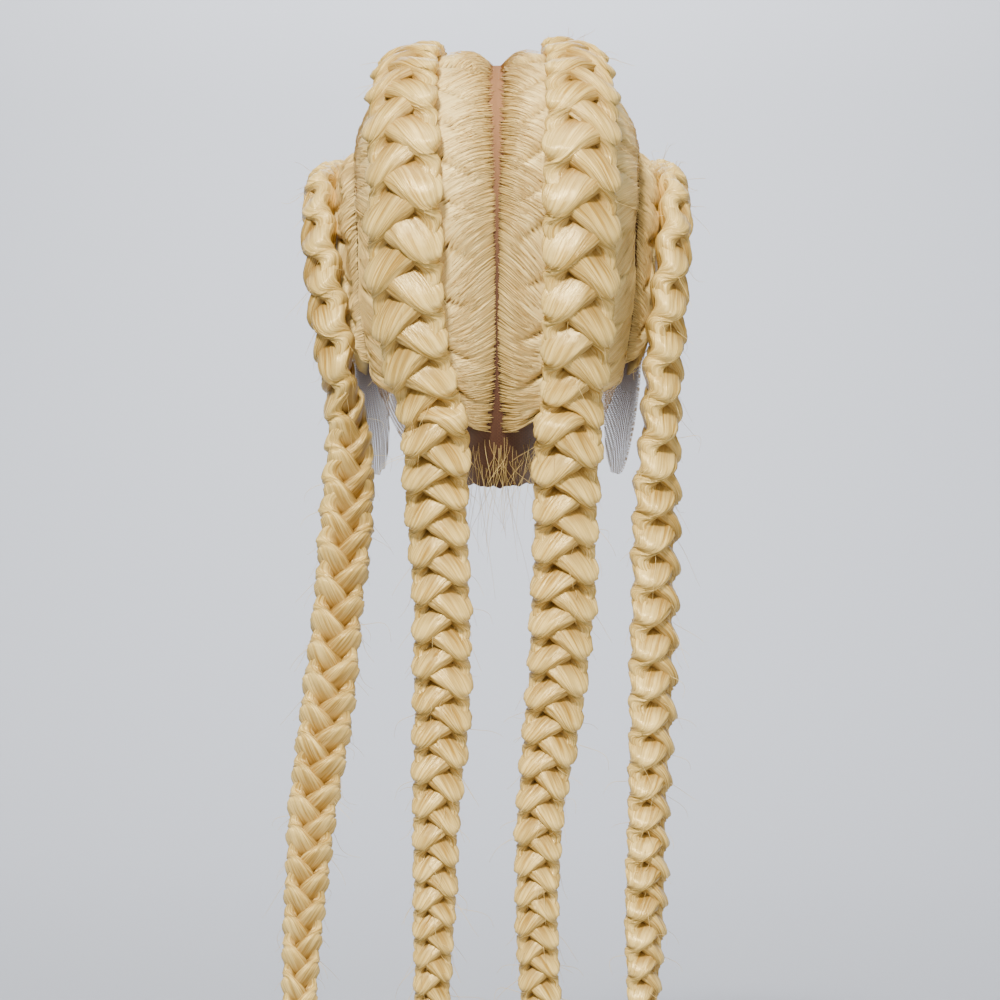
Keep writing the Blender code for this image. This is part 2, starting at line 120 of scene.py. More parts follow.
def cap_point(shares, lift):
    """Places lift above the cap's rounded, box-like form, in the directions of the shares.

    The form is a surface where the powers of x, y and z over their half axes add up to one. It
    has its own half axis in front, behind, above and below. Also returns the normals there.
    """
    shares = np.asarray(shares, float)
    shares = shares / np.sum(np.abs(shares) ** SQUARENESS, axis=-1, keepdims=True) ** (1 / SQUARENESS)
    depth = np.where(shares[..., 1] < 0, CAP_BACK, CAP_FRONT)
    height = np.where(shares[..., 2] < 0, CAP_FALL, CROWN_RISE)
    axes = np.stack([np.full(depth.shape, CAP_HALF_WIDTH), depth, height], axis=-1)
    normals = np.sign(shares) * np.abs(shares) ** (SQUARENESS - 1) / axes
    normals /= np.linalg.norm(normals, axis=-1, keepdims=True)
    return MIDDLE + shares * axes + normals * np.broadcast_to(lift, depth.shape)[..., None], normals


def through(rows, places):
    """A smooth curve through the rows, read at places from 0 to 1: a Catmull-Rom spline."""
    rows = np.asarray(rows, float).reshape(len(rows), -1)
    rows = np.vstack([2 * rows[0] - rows[1], rows, 2 * rows[-1] - rows[-2]])
    spans = len(rows) - 3
    along = np.clip(places, 0, 1) * spans
    span = np.minimum(along.astype(int), spans - 1)
    t = (along - span)[..., None]
    a, b, c, d = (rows[span + k] for k in range(4))
    return 0.5 * (2 * b + (c - a) * t + (2 * a - 5 * b + 4 * c - d) * t**2 + (3 * b - a - 3 * c + d) * t**3)


def grid(rows, columns, first=0, around=False):
    """Quads between the neighbouring points of a grid, row after row, as an array of corners."""
    i, j = np.meshgrid(np.arange(rows - 1), np.arange(columns if around else columns - 1), indexing="ij")
    k = (j + 1) % columns
    corners = [i * columns + j, i * columns + k, (i + 1) * columns + k, (i + 1) * columns + j]
    return first + np.stack(corners, axis=-1).reshape(-1, 4)


def make_piece(name, points, quads, fans, finish, marks=(), map_at=None, stands_for=()):
    """Puts points and faces into a mesh and rides it on the body.

    quads is an array with four corners a row, and fans a list of the other faces. marks gives
    each point named values that the finish reads. map_at gives each face corner its u and v.
    """
    mesh = bpy.data.meshes.new(name)
    points = np.asarray(points, np.float32).reshape(-1, 3)
    corners = np.concatenate([np.asarray(quads, np.int32).ravel(), *[np.array(f, np.int32) for f in fans]])
    sizes = np.concatenate([np.full(len(quads), 4), [len(f) for f in fans]]).astype(np.int32)
    mesh.vertices.add(len(points))
    mesh.vertices.foreach_set("co", points.ravel())
    mesh.loops.add(len(corners))
    mesh.loops.foreach_set("vertex_index", corners)
    mesh.polygons.add(len(sizes))
    mesh.polygons.foreach_set("loop_start", np.concatenate([[0], np.cumsum(sizes)[:-1]]).astype(np.int32))
    mesh.polygons.foreach_set("use_smooth", np.ones(len(sizes), bool))
    mesh.update(calc_edges=True)
    for mark, values in dict(marks).items():
        values = np.asarray(values, np.float32).reshape(len(points), -1)
        kind, field = ("FLOAT", "value") if values.shape[1] == 1 else ("FLOAT_VECTOR", "vector")
        mesh.attributes.new(mark, kind, "POINT").data.foreach_set(field, values.ravel())
    if map_at is not None:
        mesh.uv_layers.new(name="along").data.foreach_set("uv", np.asarray(map_at, np.float32).ravel())
    mesh.materials.append(finish)
    piece = bpy.data.objects.new(name, mesh)
    bpy.context.scene.collection.objects.link(piece)
    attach(piece, "root")
    for node in stands_for:
        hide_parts(node)


def lace_net():
    """Nylon hair lace: a matte hexagonal net, tinted like a scalp and closed by knots under hair.

    Three cosine waves at 60 degrees to each other add up to a net of holes. The mark bare grows
    from the hair's edge to the cut edge, and sheer does so away from the nape. Lower down, and in
    the bare band at the nape, the colour is painted darker, as shade under the hair.
    """
    finish, tree, shader = new_finish("nylon_hair_lace")
    flat = add_node(tree, "ShaderNodeAttribute", attribute_name="net").outputs["Vector"]
    waves = []
    for turn in (0, 60, 120):
        way = (math.cos(math.radians(turn)) / NET_PITCH, math.sin(math.radians(turn)) / NET_PITCH, 0)
        share = add_node(tree, "ShaderNodeVectorMath", {0: flat, 1: way}, operation="DOT_PRODUCT")
        pitches = share.outputs["Value"]
        angle = add_node(tree, "ShaderNodeMath", {0: pitches, 1: 2 * math.pi}, operation="MULTIPLY")
        waves.append(add_node(tree, "ShaderNodeMath", {0: angle.outputs[0]}, operation="COSINE").outputs[0])
    two = add_node(tree, "ShaderNodeMath", {0: waves[0], 1: waves[1]}, operation="ADD")
    hole = add_node(tree, "ShaderNodeMath", {0: two.outputs[0], 1: waves[2]}, operation="ADD")
    wall = {0: hole.outputs[0], 1: -1.0, 2: -0.3, 3: 1.0, 4: 0.0}
    thread = add_node(tree, "ShaderNodeMapRange", wall).outputs[0]
    bare = add_node(tree, "ShaderNodeAttribute", attribute_name="bare").outputs["Fac"]
    sheer = add_node(tree, "ShaderNodeAttribute", attribute_name="sheer").outputs["Fac"]
    closed = add_node(tree, "ShaderNodeMapRange", {0: sheer, 1: 0.0, 2: OPEN_FROM, 3: 1.0, 4: 0.03})
    solid = add_node(tree, "ShaderNodeMath", {0: thread, 1: closed.outputs[0]}, operation="MAXIMUM")
    patch = add_node(tree, "ShaderNodeTexNoise", {"Vector": flat, "Scale": 90.0, "Detail": 3.0})
    spot = add_node(tree, "ShaderNodeTexCoord").outputs["Object"]
    height = add_node(tree, "ShaderNodeSeparateXYZ", {0: spot}).outputs["Z"]
    # painted shade: the lace darkens lower down, as it lies in the hair's shade
    lower = add_node(tree, "ShaderNodeMapRange", {0: height, 1: PAINTED_SHADE_TOP, 2: PAINTED_SHADE_LOW, 3: 0.0, 4: 0.85})
    woven = add_node(tree, "ShaderNodeMath", {0: thread, 1: 0.25}, operation="MULTIPLY")
    tint = linear("#7E5636")
    for amount, tone in (
        (patch.outputs[0], "#946A46"),
        (lower.outputs[0], "#4A3024"),
        # painted shade: the bare band's dark tone shows at the nape, where the sheer tone doesn't cover it
        (bare, "#4E3224"),
        (sheer, "#CDB698"),
        (woven.outputs[0], "#7A5238"),
    ):
        mixed = {0: amount, 6: tint, 7: linear(tone)}
        tint = add_node(tree, "ShaderNodeMix", mixed, data_type="RGBA").outputs[2]
    relief = add_node(tree, "ShaderNodeBump", {"Height": thread, "Strength": 0.35, "Distance": 0.0003})
    plug(tree, shader, {
        "Base Color": tint, "Alpha": solid.outputs[0], "Normal": relief.outputs[0],
        "Roughness": 0.8, "Specular IOR Level": 0.2,
    })
    return finish


def lace_cap():
    """Rows run from the crown to the edge, and columns go round from the nape by the right ear.

    A point is the cap's surface in the direction of its turn and slope. The tabs stand off by a
    flare that grows with the square of the way down. The wall is an outer and an inner sheet.
    """
    rows, columns = 44, 192
    half = np.array(CAP_EDGE, float)
    other = np.column_stack([360 - half[-2:0:-1, 0], half[-2:0:-1, 1:]])
    whole = np.vstack([half, other, [360, *half[0, 1:]]])
    turns = np.linspace(0, 360, columns, endpoint=False)
    smooth = through(whole, np.interp(turns, whole[:, 0], np.linspace(0, 1, len(whole))))
    angles = np.radians(turns)
    cut = smooth[:, 1] + RAGGED_CUT * np.sin(angles * 37) + RAGGED_CUT * np.sin(angles * 61)
    around = np.stack([np.sin(angles), -np.cos(angles)], axis=1)
    around /= np.sum(np.abs(around) ** SQUARENESS, axis=1, keepdims=True) ** (1 / SQUARENESS)
    rise = CROWN_RISE - cut * CAP_DEPTH
    lowest = np.arcsin(np.clip(rise / np.where(rise < 0, CAP_FALL, CROWN_RISE), -1, 1))
    share = np.linspace(0, 1, rows + 1)[1:, None]
    slope = math.pi / 2 + (lowest - math.pi / 2) * share
    level = (1 - np.abs(np.sin(slope)) ** SQUARENESS) ** (1 / SQUARENESS)
    ways = np.concatenate([around * level[..., None], np.sin(slope)[..., None]], axis=-1)
    low = np.clip(np.sin(slope) / np.where(rise < 0, np.sin(lowest), -1), 0, 1) * (rise < 0)
    flare = smooth[:, 2] * TAB_FLARE * low**2
    near_nape = np.exp(-((((turns + 180) % 360 - 180) / NAPE_REACH) ** 2))
    start = BARE_FROM - NAPE_BARE * near_nape
    bare = np.clip((share - start) / (1 - start), 0, 1)
    sheets, bares, sheers, nets = [], [], [], []
    for lift in (LACE_THICKNESS, 0.0):
        sheets += [np.array([[0, 0, lift]]), cap_point(ways, flare + lift)[0].reshape(-1, 3)]
        bares += [[0.0], bare.ravel()]
        sheers += [[0.0], (bare * (1 - near_nape)).ravel()]
        flat = [angles * CAP_HALF_WIDTH * level, slope * CROWN_RISE, np.zeros_like(level)]
        nets += [np.zeros((1, 3)), np.stack(flat, axis=-1).reshape(-1, 3)]
    count = rows * columns + 1
    first, last = 1, 1 + (rows - 1) * columns
    ring = np.arange(columns)
    after = (ring + 1) % columns
    rim = np.stack([last + ring, last + ring + count, last + after + count, last + after], axis=1)
    outer, inner = grid(rows, columns, 1, True)[:, ::-1], grid(rows, columns, 1 + count, True)
    fans = [(0, first + j, first + k) for j, k in zip(ring, after)]
    fans += [(count, count + first + k, count + first + j) for j, k in zip(ring, after)]
    marks = {"bare": np.concatenate(bares), "sheer": np.concatenate(sheers), "net": np.vstack(nets)}
    make_piece(
        "lace_cap_net", np.vstack(sheets), np.vstack([outer, inner, rim]), fans, lace_net(),
        marks, stands_for=["lace_cap"],
    )


lace_cap()


# The plaits. Each is three strands of pale blonde synthetic hair, laid over each other in turn.
# From the front hairline to the nape they pick up hair from both sides and stand up off the
# cap. Below the nape they hang free, narrower and more tightly crossed towards their ends.
LACE_WALL = 0.0012  # the solid lace that the hair is seated on
ROOT_GAP = 0.0022  # from the lace to the hair on it
SIDE_ROOT_GAP = 0.0009
HAIR_UNDER_PLAIT = 0.0014
SIDE_UNDER_PLAIT = 0.0028
PLAIT_GAP = 0.0025  # from the hair under a plait to the plait
SIDE_PLAIT_GAP = 0.0042
PLAIT_WIDTH = 0.040
PLAIT_DEPTH = 0.0185
HANGING_DEPTH = 0.70  # a hanging plait's depth, as a share of its width
PLAIT_PITCH = 0.078  # the length in which a strand comes back to the same side
HANG = 0.515
FACE_TURN = 0.62  # how much an inner plait faces sideways, as a share of how much the cap does
ROUTE_STEPS = 40
TANGENT_STEP = 0.02
RINGS_IN_PITCH = 34
STRAND_SIDES = 36
STRAND_FLAT = 0.66  # half width of a strand, as a share of half the plait's
STRAND_THICK = 0.46
STRAND_LEAN = 66  # how far its flat side lies down from upright as it crosses, in degrees
LINGER = 0.65  # how far its rise and fall is held back towards the plait's edge, in radians
PLUMP = 0.10  # how much fuller it is where it lies on top
FULLEST = 0.7  # where it is fullest, in radians of its swing through the plait
FULLEST_TURNED = 3.5  # how much later that is where the plait shows its other face
TURNS_AT = 0.40  # where along the plait it begins to turn round
TURNS_OVER = 0.1
NARROWED = 0.24  # how much a strand narrows and thins as it goes round the plait's edge
THINNED = 0.18
UNEVEN_SIZE = 0.05
UNEVEN_SWING = 0.02
LOBE_SLANT = 0.46  # how far a strand's front is drawn down at the plait's edge
MM = 1000  # millimetres in a metre
STRAND_APART = 400  # how far apart the three strands' grain is read, in millimetres
END_MARGIN = 0.13
Ridge = namedtuple("Ridge", "count height sway pace shift")
RIDGES = (Ridge(7, 0.034, 5, 3.0, 1), Ridge(13, 0.026, 9, 1.7, 2))
# A seat is a way from the cap's middle, with an x for each side. A hang's x, y and drop are
# shares of CAP_HALF_WIDTH, CAP_BACK and HANG, and it faces so many degrees from straight back.
# Widths, depths and pitches are shares of the plaits' named sizes.
Seat = namedtuple("Seat", "left right y z width depth pitch")
Hang = namedtuple("Hang", "x y drop width pitch facing")
INNER_ON_CAP = (
    Seat(0.36, 0.34, 0.85, 0.42, 0.42, 0.52, 0.55),
    Seat(0.40, 0.36, 0.66, 0.64, 0.62, 0.60, 0.80),
    Seat(0.43, 0.38, 0.38, 0.82, 0.72, 0.64, 0.95),
    Seat(0.46, 0.41, 0.04, 0.90, 0.76, 0.66, 1.00),
    Seat(0.48, 0.42, -0.36, 0.82, 0.84, 0.76, 1.00),
    Seat(0.48, 0.42, -0.68, 0.58, 0.95, 0.90, 1.00),
    Seat(0.47, 0.42, -0.86, 0.21, 0.97, 1.00, 1.00),
    Seat(0.47, 0.42, -0.88, -0.17, 0.97, 1.00, 0.98),
    Seat(0.42, 0.40, -0.85, -0.35, 0.90, 1.00, 0.85),
    Seat(0.33, 0.37, -0.78, -0.51, 0.82, 1.00, 0.74),
)
INNER_LEFT_FREE = (
    Hang(0.39, 1.005, 0.380, 0.85, 0.70, -4),
    Hang(0.39, 0.960, 0.440, 0.79, 0.72, -3),
    Hang(0.36, 0.950, 0.540, 0.73, 0.73, 0),
    Hang(0.355, 0.98, 0.640, 0.72, 0.68, 0),
    Hang(0.39, 1.03, 0.740, 0.59, 0.64, 3),
    Hang(0.40, 1.07, 0.840, 0.52, 0.54, 5),
    Hang(0.42, 1.10, 0.930, 0.43, 0.51, 5),
    Hang(0.42, 1.12, 1.000, 0.32, 0.48, 5),
)
INNER_RIGHT_FREE = (
    Hang(0.46, 0.990, 0.380, 0.86, 0.78, 4),
    Hang(0.45, 0.950, 0.440, 0.81, 0.77, 3),
    Hang(0.43, 0.950, 0.540, 0.81, 0.72, 0),
    Hang(0.375, 0.98, 0.640, 0.72, 0.69, -2),
    Hang(0.28, 1.03, 0.740, 0.60, 0.62, -4),
    Hang(0.26, 1.07, 0.840, 0.53, 0.55, -4),
    Hang(0.28, 1.10, 0.930, 0.49, 0.51, -4),
    Hang(0.28, 1.12, 1.000, 0.34, 0.48, -4),
)
OUTER_ON_CAP = (
    Seat(0.70, 0.70, 0.62, 0.36, 0.40, 0.70, 0.50),
    Seat(0.86, 0.86, 0.42, 0.34, 0.60, 0.95, 0.70),
    Seat(0.95, 0.95, 0.16, 0.29, 0.66, 0.92, 0.80),
    Seat(0.97, 0.96, -0.12, 0.23, 0.66, 0.86, 0.84),
    Seat(0.95, 0.93, -0.30, 0.08, 0.68, 0.90, 0.88),
    Seat(0.87, 0.90, -0.42, -0.11, 0.70, 0.98, 0.84),
    Seat(0.75, 0.87, -0.48, -0.34, 0.68, 1.05, 0.78),
)
OUTER_LEFT_FREE = (
    Hang(0.99, 0.55, 0.370, 0.64, 0.72, -140),
    Hang(0.99, 0.56, 0.440, 0.68, 0.65, -166),
    Hang(1.045, 0.62, 0.540, 0.62, 0.64, -174),
    Hang(1.11, 0.70, 0.640, 0.66, 0.62, -176),
    Hang(1.20, 0.80, 0.740, 0.60, 0.58, -176),
    Hang(1.25, 0.90, 0.840, 0.50, 0.56, -176),
    Hang(1.28, 0.97, 0.930, 0.41, 0.55, -176),
    Hang(1.29, 1.02, 1.000, 0.33, 0.52, -176),
)
OUTER_RIGHT_FREE = (
    Hang(1.08, 0.55, 0.370, 0.72, 0.78, 72),
    Hang(1.06, 0.56, 0.440, 0.76, 0.74, 56),
    Hang(1.04, 0.62, 0.540, 0.74, 0.72, 48),
    Hang(1.02, 0.70, 0.640, 0.70, 0.70, 46),
    Hang(0.99, 0.80, 0.740, 0.61, 0.60, 42),
    Hang(0.965, 0.90, 0.840, 0.58, 0.56, 36),
    Hang(0.945, 0.97, 0.930, 0.44, 0.54, 34),
    Hang(0.94, 1.02, 1.000, 0.34, 0.52, 34),
)
UNDER_INNER = ROOT_GAP + HAIR_UNDER_PLAIT + PLAIT_GAP
UNDER_OUTER = SIDE_ROOT_GAP + SIDE_UNDER_PLAIT + SIDE_PLAIT_GAP
# start is how far into its pattern a plait begins, in thirds of a pitch. turned is 1 for the
# plait that hangs turned round, so that it shows its other face.
Plait = namedtuple("Plait", "seats hangs side under face_turn start turned")
PLAITS = {
    "outer_left": Plait(OUTER_ON_CAP, OUTER_LEFT_FREE, -1, UNDER_OUTER, 1.0, 0.0, 1),
    "inner_left": Plait(INNER_ON_CAP, INNER_LEFT_FREE, -1, UNDER_INNER, FACE_TURN, 0.0, 0),
    "inner_right": Plait(INNER_ON_CAP, INNER_RIGHT_FREE, 1, UNDER_INNER, FACE_TURN, 0.17, 0),
    "outer_right": Plait(OUTER_ON_CAP, OUTER_RIGHT_FREE, 1, UNDER_OUTER, 1.0, 0.0, 0),
}


def unit(vectors):
    """Vectors of the same ways, each divided by its length."""
    return vectors / np.linalg.norm(vectors, axis=-1, keepdims=True)


def seats_of(plait):
    """The rows of a plait's seats with the x of its own side only, mirrored for the left."""
    rows = np.array(plait.seats)
    kept = np.delete(rows, 0 if plait.side > 0 else 1, axis=1)
    kept[:, 0] *= plait.side
    return kept


def plait_route(plait):
    """The plait's line through its seats on the cap and its hanging places.

    A smooth curve runs through the place, the normal, the width, the depth and the pitch of all
    rows at once. The phase adds up the steps, each divided by the pitch there.
    """
    seats, hangs = seats_of(plait), np.array(plait.hangs)
    lift = LACE_WALL + plait.under + seats[:, 4] * PLAIT_DEPTH / 2
    on, normals = cap_point(seats[:, :3], lift)
    normals = unit(normals * [plait.face_turn, 1, 1])
    free = hangs[:, :3] * [plait.side * CAP_HALF_WIDTH, -CAP_BACK, -HANG]
    facing = np.radians(hangs[:, 5])
    turned = np.stack([np.sin(facing), -np.cos(facing), np.zeros_like(facing)], axis=1)
    width = np.concatenate([seats[:, 3], hangs[:, 3]]) * PLAIT_WIDTH
    depth = np.concatenate([seats[:, 4] * PLAIT_DEPTH, width[len(seats) :] * HANGING_DEPTH])
    pitch = np.concatenate([seats[:, 5], hangs[:, 4]]) * PLAIT_PITCH
    rows = np.column_stack([np.vstack([on, free]), np.vstack([normals, turned]), width, depth, pitch])
    fine = through(rows, np.linspace(0, 1, ROUTE_STEPS * len(rows)))
    steps = np.linalg.norm(np.diff(fine[:, :3], axis=0), axis=1)
    phase = np.concatenate([[0], np.cumsum(steps / fine[1:, 8])])
    return phase, fine, np.concatenate([[0], np.cumsum(steps)])


def read_route(route, phases):
    """The route at the given phases: place, tangent, normal, breadth, half width and half depth."""
    phase, fine, _ = route
    rows = np.stack([np.interp(phases, phase, fine[:, k]) for k in range(fine.shape[1])], axis=-1)
    ahead, behind = (
        np.stack([np.interp(phases + step, phase, fine[:, k]) for k in range(3)], axis=-1)
        for step in (TANGENT_STEP, -TANGENT_STEP)
    )
    tangent = unit(ahead - behind)
    normal = unit(rows[..., 3:6] - tangent * np.sum(rows[..., 3:6] * tangent, axis=-1, keepdims=True))
    return rows[..., :3], tangent, normal, np.cross(tangent, normal), rows[..., 6] / 2, rows[..., 7] / 2


def wander(count, places, reach):
    """A smooth unsteady value through count random heights, read at places from 0 to 1."""
    return through(SWAY.uniform(-reach, reach, count), places)[..., 0]


def rounded(wave, power):
    """A wave from -1 to 1 with its size raised to a power. Below 1, its crests are fuller."""
    return np.sign(wave) * np.abs(wave) ** power


def strand_lines(route, plait, k, phases, angles):
    """Points on strand k of a plait, for a column of phases and a row of angles round the strand.

    The strand's middle swings once across the plait and twice through it in a pitch, as sin t
    and sin 2t, and the second is held back so that it stands out most by the plait's edge. Its
    section is an oval, ridged by two wandering waves, whose flat side keeps to the plait's
    outside: it lies flat while the strand crosses, and turns upright as the strand goes round
    the edge. Off the middle line, the front is drawn down along the plait and the back up, as
    hair lies. Also returns how far out each point is, as a share of the plait's half width.
    """
    place, tangent, normal, breadth, half_width, half_depth = read_route(route, phases)
    share = phases / route[0][-1]
    lobes = int(3 * route[0][-1])
    t = 2 * math.pi * (phases + (k + plait.start) / 3)
    fullest = FULLEST + FULLEST_TURNED * np.clip((share - TURNS_AT) / TURNS_OVER, 0, 1) * plait.turned
    plump = 1 + PLUMP * np.cos(2 * t - fullest) + 0.02 * np.cos(4 * t - 1.5)
    plump = plump + wander(lobes, share, UNEVEN_SIZE)
    edge = np.abs(np.sin(t - 0.08)) ** 6
    flat = STRAND_FLAT * plump * (1 - NARROWED * edge)
    thick = STRAND_THICK * plump * (1 - THINNED * edge)
    across = (1 - STRAND_THICK) * np.sin(t) + wander(lobes, share, UNEVEN_SWING)
    deep = (HANGING_DEPTH - STRAND_THICK) * np.sin(2 * t - LINGER * np.sin(2 * t))
    crossing = rounded(np.cos(t), 0.6)
    turn = -math.pi / 2 + math.radians(STRAND_LEAN) * np.sin(math.pi / 2 * crossing)
    ridged = 1.0
    for ridge in RIDGES:
        sway = ridge.sway * np.sin(ridge.pace * share * lobes + ridge.shift * k)
        ridged = ridged + ridge.height * np.sin(ridge.count * angles + sway)
    u = flat * rounded(np.cos(angles), 0.80) * ridged
    v = thick * rounded(np.sin(angles), 0.92) * ridged
    x = across + u * np.cos(turn) - v * np.sin(turn)
    y = (deep + u * np.sin(turn) + v * np.cos(turn)) / HANGING_DEPTH
    slant = LOBE_SLANT * np.abs(x) ** 1.6 * y
    points = place + breadth * (x * half_width)[..., None] + normal * (y * half_depth)[..., None]
    points += tangent * (slant * half_width)[..., None]
    return points, np.sqrt(x**2 + (HANGING_DEPTH * y) ** 2)


# The tones: crest is a painted highlight on the parts that stand out, and crease painted shade in the
# hollows. light, middle and shade are the fibre's own colours, which the streaks mix.
Tones = namedtuple("Tones", "crest light middle shade crease")
DRAWN_OUT = 0.035  # a streak is about thirty times as long as it is wide
LOCK_STREAKS = 0.28  # how many broad streaks there are for each fine one


def blonde_hair(name, tones, streak, roughness):
    """Pale blonde synthetic fibre: a silky sheen stretched across the strands, and fine streaks.

    The fibre mark holds millimetres round and along the strand. Noise that is drawn out along
    it gives the streaks, and streak is their number in a millimetre: the real grain, a tenth
    of a millimetre, is too fine to show. The outside mark paints shade into the creases and a
    highlight onto the crests.
    """
    finish, tree, shader = new_finish(name)
    fibre = add_node(tree, "ShaderNodeAttribute", attribute_name="fibre").outputs["Vector"]
    way = (1.0, 1.0, DRAWN_OUT)
    drawn = add_node(tree, "ShaderNodeVectorMath", {0: fibre, 1: way}, operation="MULTIPLY").outputs[0]
    grain = {"Vector": drawn, "Scale": streak * LOCK_STREAKS, "Detail": 2.0}
    locks = add_node(tree, "ShaderNodeTexNoise", grain).outputs[0]
    grain = {"Vector": drawn, "Scale": streak, "Detail": 4.0, "Roughness": 0.65}
    fine = add_node(tree, "ShaderNodeTexNoise", grain).outputs[0]
    grain = {"Vector": fibre, "Scale": 0.035, "Detail": 2.0}
    patch = add_node(tree, "ShaderNodeTexNoise", grain).outputs[0]
    outside = add_node(tree, "ShaderNodeAttribute", attribute_name="outside").outputs["Fac"]
    colour = linear(tones.middle)
    for follows, low, high, share_low, share_high, tone in (
        (fine, 0.41, 0.59, 0.0, 1.0, tones.light),
        (locks, 0.38, 0.72, 0.0, 0.55, tones.shade),
        (patch, 0.45, 0.75, 0.0, 0.35, tones.light),
        # painted highlight: the crest tone lightens the points that stand farthest out
        (outside, 0.80, 1.04, 0.0, 0.3, tones.crest),
        # painted shade: the crease tone darkens where the outside mark is low, in hollows and creases
        (outside, 0.36, 0.80, 1.0, 0.0, tones.crease),
    ):
        reach = {0: follows, 1: low, 2: high, 3: share_low, 4: share_high}
        amount = add_node(tree, "ShaderNodeMapRange", reach).outputs[0]
        mixed = {0: amount, 6: colour, 7: linear(tone)}
        colour = add_node(tree, "ShaderNodeMix", mixed, data_type="RGBA").outputs[2]
    both = add_node(tree, "ShaderNodeMath", {0: fine, 1: locks}, operation="ADD")
    raise_by = {"Height": both.outputs[0], "Strength": 0.8, "Distance": 0.0007}
    relief = add_node(tree, "ShaderNodeBump", raise_by)
    tangent = add_node(tree, "ShaderNodeTangent", direction_type="UV_MAP", uv_map="along")
    plug(tree, shader, {
        "Base Color": colour, "Normal": relief.outputs[0], "Tangent": tangent.outputs[0],
        "Roughness": roughness, "Anisotropic": 0.7, "IOR": 1.6, "Specular IOR Level": 0.75,
        "Specular Tint": linear("#FFE4A0"),
    })
    return finish


def tube(rings, sides, first=0):
    """Quads of a closed tube that has its rings one after another, and its two end faces."""
    last = first + (rings - 1) * sides
    ends = [tuple(first + j for j in reversed(range(sides))), tuple(last + j for j in range(sides))]
    return grid(rings, sides, first, True), ends


def corner_map(rings, sides, length, fans):
    """u and v for each face corner of a tube: u goes once round, and v is the length in metres."""
    i, j = np.meshgrid(np.arange(rings - 1), np.arange(sides), indexing="ij")
    u = np.stack([j, j + 1, j + 1, j], axis=-1) / sides
    v = length[np.stack([i, i, i + 1, i + 1], axis=-1)]
    return np.stack([u, v], axis=-1).reshape(-1, 2), np.zeros((sum(len(f) for f in fans), 2))


def plait(name, plan, finish):
    """The three strands of one plait, each a closed tube.

    The angles run downwards from 0, so that the faces look outward.
    """
    route = plait_route(plan)
    last = route[0][-1]
    count = int((last - 2 * END_MARGIN) * RINGS_IN_PITCH)
    phases = np.linspace(END_MARGIN, last - END_MARGIN, count)[:, None]
    angles = np.linspace(0, -2 * math.pi, STRAND_SIDES, endpoint=False)[None, :]
    length = np.interp(phases[:, 0], route[0], route[2])
    points, outside, fibre, quads, fans, maps, end_maps = [], [], [], [], [], [], []
    for k in range(3):
        at, near = strand_lines(route, plan, k, phases, angles)
        faces, ends = tube(count, STRAND_SIDES, k * count * STRAND_SIDES)
        along, flat = corner_map(count, STRAND_SIDES, length, ends)
        radius = MM * read_route(route, phases)[4] * (STRAND_FLAT + STRAND_THICK) / 2
        spin = np.stack([radius * np.cos(angles), radius * np.sin(angles)], axis=-1)
        run = np.broadcast_to((MM * length + STRAND_APART * k)[:, None, None], (*near.shape, 1))
        points.append(at.reshape(-1, 3))
        outside.append(near.ravel())
        fibre.append(np.concatenate([spin, run], axis=-1).reshape(-1, 3))
        quads.append(faces)
        fans += ends
        maps.append(along)
        end_maps.append(flat)
    # outside, how far out each point is, drives the finish's painted crest highlight and crease shade
    marks = {"outside": np.concatenate(outside), "fibre": np.vstack(fibre)}
    make_piece(
        "plait_" + name, np.vstack(points), np.vstack(quads), fans, finish,
        marks, np.vstack(maps + end_maps), ["braid_" + name],
    )


plaited_tones = Tones("#F8DA88", "#F2CE78", "#B08634", "#846220", "#84602A")
plaited = blonde_hair("plaited_blonde_fibre", plaited_tones, streak=0.9, roughness=0.27)
for name, plan in PLAITS.items():
    plait(name, plan, plaited)


# The hair on the cap. It is knotted into the lace and combed flat from the partings, downwards
# and outwards, into the plaits, which take it up one lock at a time. Each lock swells towards
# its plait, with a crease before the next. Fine short hairs stray over the partings.
HAIR_DEPTH = 0.0050
SIDE_HAIR_DEPTH = 0.0085
HAIR_AT_PARTING = 0.0003
ROOTS_IN_LACE = 0.0006  # how deep in the lace the hair's underside lies
RISE_OVER = 0.0090  # how far from its parting the hair takes to rise, in metres
SHADE_OVER = 0.012  # how far from the parting's bare strip the hair is painted darker, as shade at its roots
STRIP_FADES = 0.010  # how far from its parting the bare strip pushes the hair aside
CREASE_DEPTH = 0.78  # how deep the crease between two locks is, as a share of their height
# painted shade: how dark the crease between two locks is painted
CREASE_SHADE = 0.95
# painted shade: the slab's underside keeps this share of the upper side's painted light
UNDER_SHADE = 0.6
ROOM_SHARE = 0.62
INTO_PLAIT = 0.0028  # how far a lock reaches up into the plait's underside
COMB_AHEAD = 0.15  # how far down the cap a hair has got at its plait, as a share of the line
SIDES_APART = 300  # how far apart the grain of a section's two sides is read, in millimetres
# The partings' places are ways from the cap's middle, from the front to the nape.
CENTRE_PARTING = (
    (0.0, 0.91, 0.42),
    (0.0, 0.50, 0.87),
    (0.0, -0.20, 0.98),
    (0.0, -0.86, 0.50),
    (0.0, -1.00, 0.00),
    (0.0, -0.94, -0.38),
    (0.0, -0.81, -0.66),
)
SIDE_PARTING = (
    (0.55, 0.71, 0.44),
    (0.72, 0.42, 0.55),
    (0.82, 0.14, 0.55),
    (0.86, -0.16, 0.48),
    (0.87, -0.40, 0.27),
    (0.86, -0.51, 0.03),
    (0.84, -0.52, -0.19),
    (0.77, -0.53, -0.42),
)
SIDE_HAIRLINE = (
    (0.62, 0.72, 0.30),
    (0.88, 0.46, 0.10),
    (0.97, 0.20, 0.00),
    (0.99, -0.02, -0.09),
    (0.96, -0.18, -0.22),
    (0.90, -0.32, -0.34),
    (0.82, -0.43, -0.45),
)
